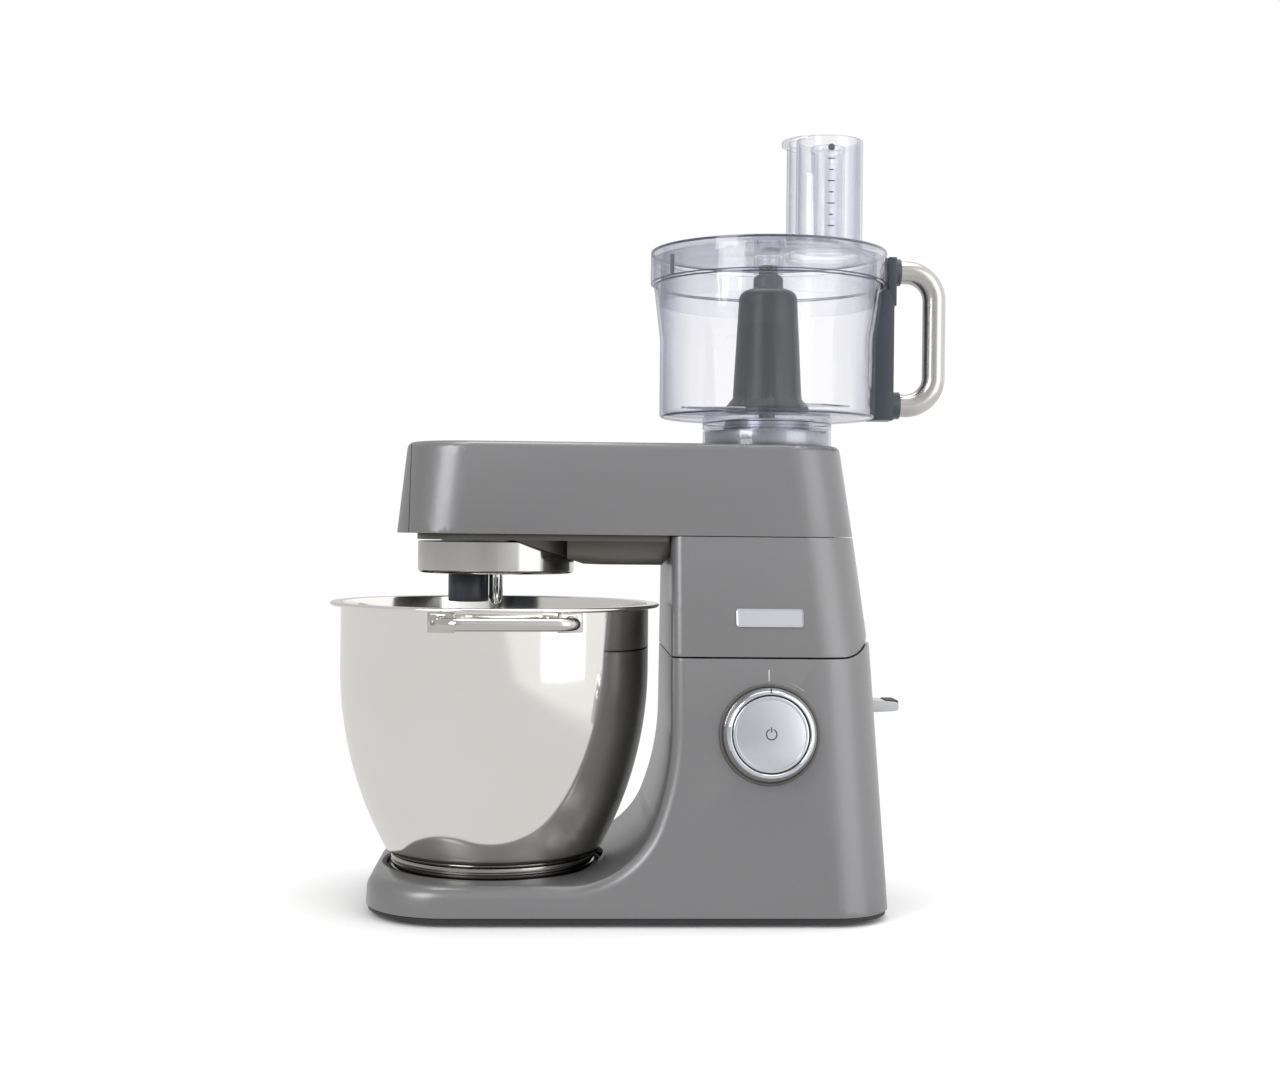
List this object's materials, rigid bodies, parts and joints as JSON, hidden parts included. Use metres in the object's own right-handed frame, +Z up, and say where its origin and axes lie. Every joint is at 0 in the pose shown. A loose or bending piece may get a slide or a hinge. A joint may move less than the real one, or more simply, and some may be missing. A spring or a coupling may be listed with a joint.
{
  "type": "food processor",
  "caption": "Tilting-head kitchen machine with a stainless mixing bowl in front, a speed dial on the column and a clear food processor bowl with blade, lid and pusher on its rear top outlet.",
  "frame": {"origin": "on the table, below the centre of the machine's bounding box", "axes": "+Z up; the head and the mixing bowl point along -X; the dial faces -Y"},
  "size_m": [0.47, 0.2994, 0.582],
  "materials": {
    "grey_paint": "satin metallic grey paint on die-cast aluminium",
    "black_plastic": "fine-textured black plastic",
    "olive_plastic": "satin dark grey moulding",
    "rubber": "matt",
    "cast_aluminium": "as cast",
    "steel": "machined",
    "stainless": "polished stainless steel",
    "chrome": "polished",
    "silver_plastic": "satin silver",
    "light_plastic": "light grey",
    "slate_plastic": "dark slate, satin",
    "clear_plastic": "clear, slightly smoky"
  },
  "bodies": {
    "base": {"lower_casing": "grey_paint", "base_plate": "black_plastic", "rubber_foot_1": "rubber", "rubber_foot_2": "rubber", "rubber_foot_3": "rubber", "rubber_foot_4": "rubber", "bowl_seat": "black_plastic", "hinge_bracket": "cast_aluminium", "hinge_pin": "steel", "dial_bezel": "chrome", "speed_encoder": "black_plastic", "control_board": "black_plastic", "cord_gland": "black_plastic", "lever_pin": "steel", "latch_pin": "steel"},
    "head": {"upper_casing": "grey_paint", "head_casing": "grey_paint", "head_underside": "olive_plastic", "head_hinge_frame": "cast_aluminium", "latch_striker": "steel", "badge_plate": "chrome", "gearbox_housing": "cast_aluminium", "ring_gear": "steel", "hub_bearing": "steel", "motor_stator": "steel", "motor_bearing": "steel", "drive_belt": "black_plastic", "slow_outlet_collar": "cast_aluminium"},
    "outlet_flap": {"outlet_cover": "grey_paint"},
    "hub_carrier": {"planet_hub": "chrome", "hub_spindle": "steel", "output_gear": "steel"},
    "planet": {"tool_socket": "slate_plastic", "planet_gear": "steel"},
    "layshaft_unit": {"layshaft_pulley": "cast_aluminium", "layshaft": "steel"},
    "rotor": {"motor_armature": "steel", "motor_pulley": "steel", "cooling_fan": "light_plastic", "outlet_coupling": "light_plastic"},
    "dial": {"speed_dial": "silver_plastic"},
    "button": {"start_button": "silver_plastic"},
    "release_lever": {"head_release_lever": "light_plastic"},
    "latch": {"latch_hook": "steel"},
    "bowl": {"mixing_bowl": "stainless", "foot_band": "stainless", "bowl_handle_front": "stainless", "bowl_handle_rear": "stainless"},
    "processor_drive": {"drive_unit": "silver_plastic", "drive_collar": "clear_plastic"},
    "processor_vessel": {"processor_bowl": "clear_plastic", "handle_bracket": "slate_plastic", "processor_handle": "stainless"},
    "lid": {"processor_lid": "clear_plastic"},
    "pusher": {"large_pusher": "clear_plastic"},
    "inner_pusher": {"small_pusher": "clear_plastic"},
    "blade": {"blade_hub": "slate_plastic", "blade_spindle": "steel", "blade_low": "stainless", "blade_high": "stainless"}
  },
  "joints": [
    {"name": "head_tilt", "type": "hinge", "parent": "base", "child": "head", "pos_m": [0.145, 0, 0.214], "axis": [0, 1, 0], "range_deg": [0, 45]},
    {"name": "flap_open", "type": "hinge", "parent": "head", "child": "outlet_flap", "pos_m": [-0.172, 0, 0.3452], "axis": [0, 1, 0], "range_deg": [0, 90]},
    {"name": "carrier_spin", "type": "hinge", "parent": "head", "child": "hub_carrier", "pos_m": [-0.11, 0, 0.26], "axis": [0, 0, 1], "continuous": true},
    {"name": "planet_spin", "type": "hinge", "parent": "hub_carrier", "child": "planet", "pos_m": [-0.131, 0, 0.25], "axis": [0, 0, 1], "continuous": true},
    {"name": "layshaft_spin", "type": "hinge", "parent": "head", "child": "layshaft_unit", "pos_m": [-0.0725, 0, 0.3], "axis": [0, 0, 1], "continuous": true},
    {"name": "rotor_spin", "type": "hinge", "parent": "head", "child": "rotor", "pos_m": [0.097, 0, 0.25], "axis": [0, 0, 1], "continuous": true},
    {"name": "dial_turn", "type": "hinge", "parent": "base", "child": "dial", "pos_m": [0.09, -0.09401, 0.135], "axis": [0, -0.9908, 0.1354], "range_deg": [-240, 30]},
    {"name": "button_press", "type": "slide", "parent": "base", "child": "button", "axis": [0, 0.9908, -0.1354], "range_m": [0, 0.002], "stiffness_N_per_m": 600},
    {"name": "lever_press", "type": "hinge", "parent": "base", "child": "release_lever", "pos_m": [0.158, 0.018, 0.146], "axis": [0, 1, 0], "range_deg": [0, 12], "stiffness_Nm_per_rad": 0.4},
    {"name": "latch_swing", "type": "hinge", "parent": "base", "child": "latch", "pos_m": [0.084, 0.018, 0.158], "axis": [0, 1, 0], "range_deg": [-9.6, 0]},
    {"name": "bowl_twist", "type": "hinge", "parent": "base", "child": "bowl", "pos_m": [-0.11, 0, 0.03], "axis": [0, 0, 1], "range_deg": [0, 20]},
    {"name": "processor_lift", "type": "slide", "parent": "head", "child": "processor_drive", "axis": [0, 0, 1], "range_m": [0, 0.03]},
    {"name": "vessel_twist", "type": "hinge", "parent": "processor_drive", "child": "processor_vessel", "pos_m": [0.097, 0, 0.36], "axis": [0, 0, 1], "range_deg": [0, 20]},
    {"name": "lid_lift", "type": "slide", "parent": "processor_vessel", "child": "lid", "axis": [0, 0, 1], "range_m": [0, 0.06]},
    {"name": "pusher_slide", "type": "slide", "parent": "lid", "child": "pusher", "axis": [0, 0, 1], "range_m": [0, 0.09]},
    {"name": "inner_pusher_slide", "type": "slide", "parent": "pusher", "child": "inner_pusher", "axis": [0, 0, 1], "range_m": [0, 0.085]},
    {"name": "blade_spin", "type": "hinge", "parent": "processor_drive", "child": "blade", "pos_m": [0.097, 0, 0.4], "axis": [0, 0, 1], "continuous": true}
  ],
  "couplings": [
    {"joint": "planet_spin", "follows": "carrier_spin", "ratio": -2.5556},
    {"joint": "layshaft_spin", "follows": "carrier_spin", "ratio": -4},
    {"joint": "rotor_spin", "follows": "carrier_spin", "ratio": -16},
    {"joint": "blade_spin", "follows": "carrier_spin", "ratio": -16},
    {"joint": "latch_swing", "follows": "lever_press", "ratio": -0.8}
  ]
}
